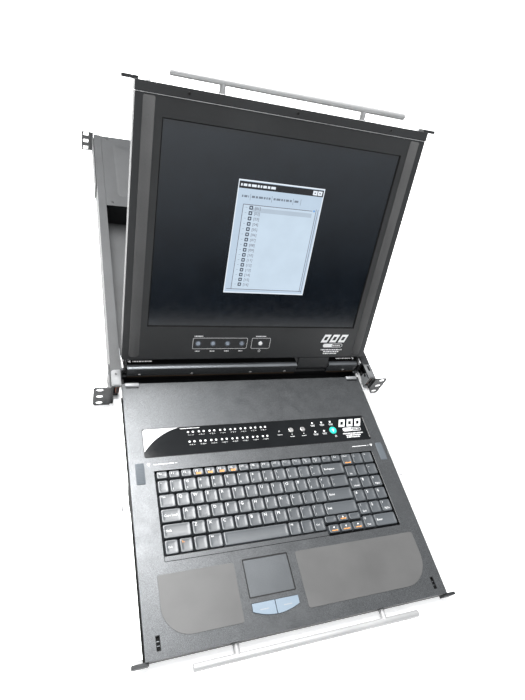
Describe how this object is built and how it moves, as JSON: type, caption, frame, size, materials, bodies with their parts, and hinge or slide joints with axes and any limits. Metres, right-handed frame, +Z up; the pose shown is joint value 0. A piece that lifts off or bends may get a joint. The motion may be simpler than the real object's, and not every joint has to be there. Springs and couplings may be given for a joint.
{
  "type": "rack kvm console switch",
  "caption": "One-unit rack console with a hinged display and a keyboard tray on separate slides, and a KVM switch with rear sockets.",
  "frame": {"origin": "centre of the bottom of the bounding box, with the console pulled out and its lid open", "axes": "+X to the user's right, +Y to the back of the rack, +Z up"},
  "size_m": [0.4826, 1.015, 0.3971],
  "materials": {
    "chassis_paint": "fine matte powder coat, near black",
    "deck_paint": "charcoal metallic paint with a fine texture",
    "bezel_plastic": "fine-grained dark grey plastic",
    "zinc_steel": "zinc-plated steel",
    "supply_case": "plain satin case",
    "handle_aluminium": "satin, brushed along its length",
    "key_plastic": "fine matte keycap plastic",
    "black_plastic": "satin black",
    "overlay_film": "glossy black film",
    "palm_pad": "matte textured pad",
    "touchpad_plastic": "fine matte",
    "click_plastic": "satin pale blue",
    "catch_plastic": "ribbed satin grey",
    "button_plastic": "satin blue-grey",
    "white_plastic": "satin white",
    "light_teal": "lit teal lens",
    "screen_glass": "smooth dark screen",
    "rubber_strip": "soft matte strip",
    "circuit_board": "solder mask"
  },
  "bodies": {
    "base": {"chassis_pan": "chassis_paint", "rear_cover": "chassis_paint", "left_rack_ear": "chassis_paint", "right_rack_ear": "chassis_paint", "left_outer_rail": "zinc_steel", "right_outer_rail": "zinc_steel", "left_rear_mount": "chassis_paint", "right_rear_mount": "chassis_paint", "switch_board": "circuit_board", "power_supply": "supply_case", "computer_port_bank": "zinc_steel", "console_ports": "zinc_steel", "lan_jack": "zinc_steel", "power_inlet": "black_plastic"},
    "rocker": {"power_rocker": "black_plastic"},
    "left_middle_member": {"left_middle_rail": "zinc_steel"},
    "right_middle_member": {"right_middle_rail": "zinc_steel"},
    "keyboard_module": {"keyboard_tray": "chassis_paint", "keyboard_deck": "deck_paint", "keyboard_front_bar": "chassis_paint", "keyboard_handle": "handle_aluminium", "key_base_plate": "black_plastic", "keycaps": "key_plastic", "touchpad": "touchpad_plastic", "left_palm_rest": "palm_pad", "right_palm_rest": "palm_pad", "status_overlay": "overlay_film", "indicator_board": "circuit_board", "left_keyboard_slide": "zinc_steel", "right_keyboard_slide": "zinc_steel"},
    "carriage": {"display_carriage": "deck_paint", "left_carriage_slide": "zinc_steel", "right_carriage_slide": "zinc_steel", "left_hinge_pin": "zinc_steel", "right_hinge_pin": "zinc_steel"},
    "lid": {"display_back_cover": "chassis_paint", "display_bezel": "bezel_plastic", "screen_panel": "screen_glass", "cable_neck": "bezel_plastic", "left_hinge_arm": "zinc_steel", "right_hinge_arm": "zinc_steel", "display_front_bar": "bezel_plastic", "display_handle": "handle_aluminium", "left_bumper_strip": "rubber_strip", "right_bumper_strip": "rubber_strip"},
    "space_bar": {"space_bar": "key_plastic"},
    "left_click_button": {"left_click_button": "click_plastic"},
    "right_click_button": {"right_click_button": "click_plastic"},
    "port_up_button": {"port_up_button": "button_plastic"},
    "port_down_button": {"port_down_button": "button_plastic"},
    "power_light_button": {"power_light_button": "light_teal"},
    "menu_button_1": {"menu_button_1": "button_plastic"},
    "menu_button_2": {"menu_button_2": "button_plastic"},
    "menu_button_3": {"menu_button_3": "button_plastic"},
    "menu_button_4": {"menu_button_4": "button_plastic"},
    "display_power_button": {"display_power_button": "white_plastic"},
    "left_keyboard_catch": {"left_keyboard_catch": "catch_plastic"},
    "right_keyboard_catch": {"right_keyboard_catch": "catch_plastic"},
    "left_carriage_catch": {"left_carriage_catch": "zinc_steel"},
    "right_carriage_catch": {"right_carriage_catch": "zinc_steel"}
  },
  "joints": [
    {"name": "keyboard_slide", "type": "slide", "parent": "base", "child": "keyboard_module", "axis": [0, 1, 0], "range_m": [0, 0.333]},
    {"name": "left_middle_rail_slide", "type": "slide", "parent": "base", "child": "left_middle_member", "axis": [0, 1, 0], "range_m": [0, 0.1665]},
    {"name": "right_middle_rail_slide", "type": "slide", "parent": "base", "child": "right_middle_member", "axis": [0, 1, 0], "range_m": [0, 0.1665]},
    {"name": "display_slide", "type": "slide", "parent": "base", "child": "carriage", "axis": [0, 1, 0], "range_m": [0, 0.333]},
    {"name": "lid_tilt", "type": "hinge", "parent": "carriage", "child": "lid", "pos_m": [0, -0.1108, 0.03365], "axis": [1, 0, 0], "range_deg": [0, 113.8]},
    {"name": "rocker_tilt", "type": "hinge", "parent": "base", "child": "rocker", "pos_m": [0.1545, 0.493, 0.022], "axis": [1, 0, 0], "range_deg": [0, 16]},
    {"name": "space_bar_press", "type": "slide", "parent": "keyboard_module", "child": "space_bar", "axis": [0, 0, -1], "range_m": [0, 0.0025], "stiffness_N_per_m": 600},
    {"name": "left_click_button_press", "type": "slide", "parent": "keyboard_module", "child": "left_click_button", "axis": [0, 0, -1], "range_m": [0, 0.0008], "stiffness_N_per_m": 600},
    {"name": "right_click_button_press", "type": "slide", "parent": "keyboard_module", "child": "right_click_button", "axis": [0, 0, -1], "range_m": [0, 0.0008], "stiffness_N_per_m": 600},
    {"name": "port_up_button_press", "type": "slide", "parent": "keyboard_module", "child": "port_up_button", "axis": [0, 0, -1], "range_m": [0, 0.0008], "stiffness_N_per_m": 600},
    {"name": "port_down_button_press", "type": "slide", "parent": "keyboard_module", "child": "port_down_button", "axis": [0, 0, -1], "range_m": [0, 0.0008], "stiffness_N_per_m": 600},
    {"name": "power_light_button_press", "type": "slide", "parent": "keyboard_module", "child": "power_light_button", "axis": [0, 0, -1], "range_m": [0, 0.0008], "stiffness_N_per_m": 600},
    {"name": "menu_button_1_press", "type": "slide", "parent": "lid", "child": "menu_button_1", "axis": [0, 0.915, -0.4035], "range_m": [0, 0.0008], "stiffness_N_per_m": 600},
    {"name": "menu_button_2_press", "type": "slide", "parent": "lid", "child": "menu_button_2", "axis": [0, 0.915, -0.4035], "range_m": [0, 0.0008], "stiffness_N_per_m": 600},
    {"name": "menu_button_3_press", "type": "slide", "parent": "lid", "child": "menu_button_3", "axis": [0, 0.915, -0.4035], "range_m": [0, 0.0008], "stiffness_N_per_m": 600},
    {"name": "menu_button_4_press", "type": "slide", "parent": "lid", "child": "menu_button_4", "axis": [0, 0.915, -0.4035], "range_m": [0, 0.0008], "stiffness_N_per_m": 600},
    {"name": "display_power_button_press", "type": "slide", "parent": "lid", "child": "display_power_button", "axis": [0, 0.915, -0.4035], "range_m": [0, 0.0008], "stiffness_N_per_m": 600},
    {"name": "left_keyboard_catch_pull", "type": "slide", "parent": "keyboard_module", "child": "left_keyboard_catch", "axis": [0, -1, 0], "range_m": [0, 0.004], "stiffness_N_per_m": 600},
    {"name": "right_keyboard_catch_pull", "type": "slide", "parent": "keyboard_module", "child": "right_keyboard_catch", "axis": [0, -1, 0], "range_m": [0, 0.004], "stiffness_N_per_m": 600},
    {"name": "left_carriage_catch_push", "type": "slide", "parent": "carriage", "child": "left_carriage_catch", "axis": [0, 1, 0], "range_m": [0, 0.003], "stiffness_N_per_m": 600},
    {"name": "right_carriage_catch_push", "type": "slide", "parent": "carriage", "child": "right_carriage_catch", "axis": [0, 1, 0], "range_m": [0, 0.003], "stiffness_N_per_m": 600}
  ],
  "couplings": [
    {"joint": "left_middle_rail_slide", "follows": "keyboard_slide", "ratio": 0.5},
    {"joint": "right_middle_rail_slide", "follows": "keyboard_slide", "ratio": 0.5}
  ]
}
